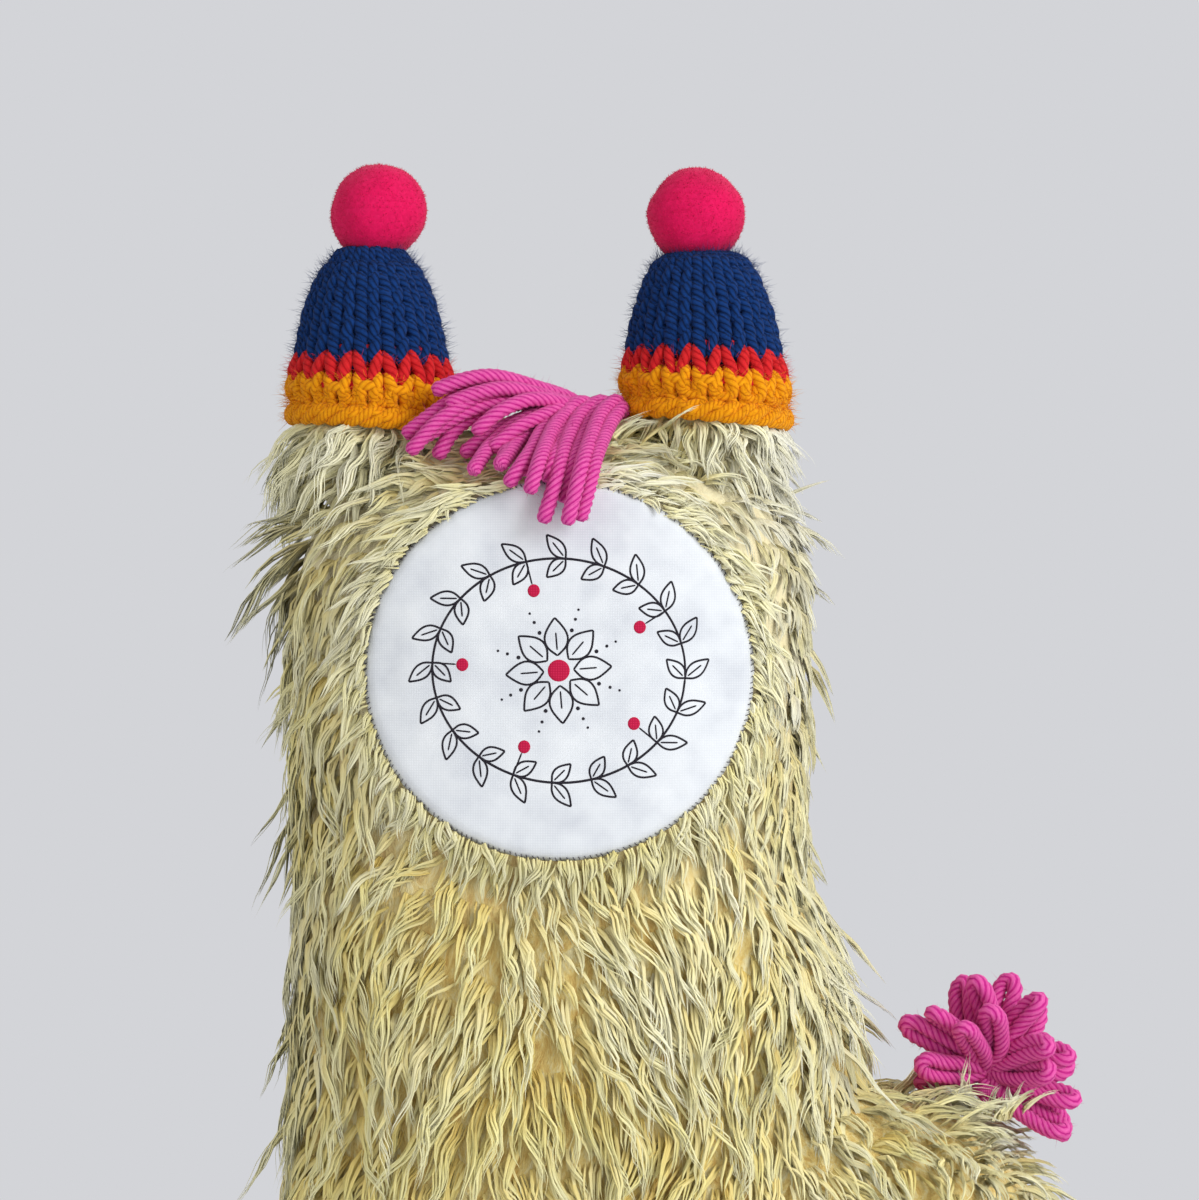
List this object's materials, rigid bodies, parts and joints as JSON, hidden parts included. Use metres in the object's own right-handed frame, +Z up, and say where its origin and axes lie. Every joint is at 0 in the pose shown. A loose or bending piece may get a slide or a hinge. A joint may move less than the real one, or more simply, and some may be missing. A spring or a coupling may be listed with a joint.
{
  "type": "plush llama",
  "caption": "Stuffed llama toy in long cream fur with a round cotton face, knitted caps on its ears, yarn forelock and tail, and four soft legs.",
  "frame": {"origin": "on the floor, under the middle of the toy", "axes": "+Z up; the face looks towards -Y; neck and chest stand at -X and the rump at +X"},
  "size_m": [0.1962, 0.0926, 0.3835],
  "materials": {
    "cream_fur": "long-pile wavy mohair-like fabric, cream",
    "filling": "white polyester fibre filling",
    "white_cotton": "plain-woven white cotton with a printed wreath",
    "dark_thread": "dark sewing thread",
    "pink_yarn": "plied orchid-pink acrylic yarn",
    "yellow_yarn": "knitted yellow yarn",
    "red_yarn": "knitted red yarn",
    "blue_yarn": "knitted blue yarn",
    "pink_pompom": "felted crimson-pink pompom",
    "cream_felt": "cream felt"
  },
  "bodies": {
    "body": {"front_fur_panel": "cream_fur", "back_fur_panel": "cream_fur", "neck_filling": "filling", "trunk_filling": "filling", "face_padding": "filling", "face_patch": "white_cotton", "face_edge_thread": "dark_thread"},
    "left_ear": {"left_ear_fabric": "cream_fur", "left_ear_filling": "filling", "left_cap_brim": "yellow_yarn", "left_cap_stripe": "red_yarn", "left_cap_crown": "blue_yarn", "left_pompom": "pink_pompom"},
    "right_ear": {"right_ear_fabric": "cream_fur", "right_ear_filling": "filling", "right_cap_brim": "yellow_yarn", "right_cap_stripe": "red_yarn", "right_cap_crown": "blue_yarn", "right_pompom": "pink_pompom"},
    "forelock": {"forelock_yarn": "pink_yarn"},
    "tail": {"tail_yarn": "pink_yarn", "tail_tie": "pink_yarn"},
    "chest_near_leg": {"chest_near_leg_fabric": "cream_fur", "chest_near_leg_filling": "filling", "chest_near_sole": "cream_felt"},
    "chest_far_leg": {"chest_far_leg_fabric": "cream_fur", "chest_far_leg_filling": "filling", "chest_far_sole": "cream_felt"},
    "rump_near_leg": {"rump_near_leg_fabric": "cream_fur", "rump_near_leg_filling": "filling", "rump_near_sole": "cream_felt"},
    "rump_far_leg": {"rump_far_leg_fabric": "cream_fur", "rump_far_leg_filling": "filling", "rump_far_sole": "cream_felt"}
  },
  "joints": [
    {"name": "left_ear_flop", "type": "hinge", "parent": "body", "child": "left_ear", "pos_m": [-0.07671, 0, 0.306], "axis": [1, 0, 0.0087], "range_deg": [-25, 8], "stiffness_Nm_per_rad": 0.05},
    {"name": "right_ear_flop", "type": "hinge", "parent": "body", "child": "right_ear", "pos_m": [0.00729, 0, 0.3075], "axis": [0.9994, 0, 0.0349], "range_deg": [-25, 8], "stiffness_Nm_per_rad": 0.05},
    {"name": "forelock_lift", "type": "hinge", "parent": "body", "child": "forelock", "pos_m": [-0.02071, -0.005, 0.3225], "axis": [-1, 0, 0], "range_deg": [0, 35]},
    {"name": "tail_swing", "type": "hinge", "parent": "body", "child": "tail", "pos_m": [0.07729, 0, 0.1465], "axis": [1, 0, 0], "range_deg": [-25, 25], "stiffness_Nm_per_rad": 0.005},
    {"name": "chest_near_leg_swing", "type": "hinge", "parent": "body", "child": "chest_near_leg", "pos_m": [-0.07171, -0.024, 0.062], "axis": [0, 1, 0], "range_deg": [-20, 20], "stiffness_Nm_per_rad": 0.3},
    {"name": "chest_far_leg_swing", "type": "hinge", "parent": "body", "child": "chest_far_leg", "pos_m": [-0.07171, 0.024, 0.062], "axis": [0, 1, 0], "range_deg": [-20, 20], "stiffness_Nm_per_rad": 0.3},
    {"name": "rump_near_leg_swing", "type": "hinge", "parent": "body", "child": "rump_near_leg", "pos_m": [0.06829, -0.024, 0.062], "axis": [0, 1, 0], "range_deg": [-20, 20], "stiffness_Nm_per_rad": 0.3},
    {"name": "rump_far_leg_swing", "type": "hinge", "parent": "body", "child": "rump_far_leg", "pos_m": [0.06829, 0.024, 0.062], "axis": [0, 1, 0], "range_deg": [-20, 20], "stiffness_Nm_per_rad": 0.3}
  ]
}
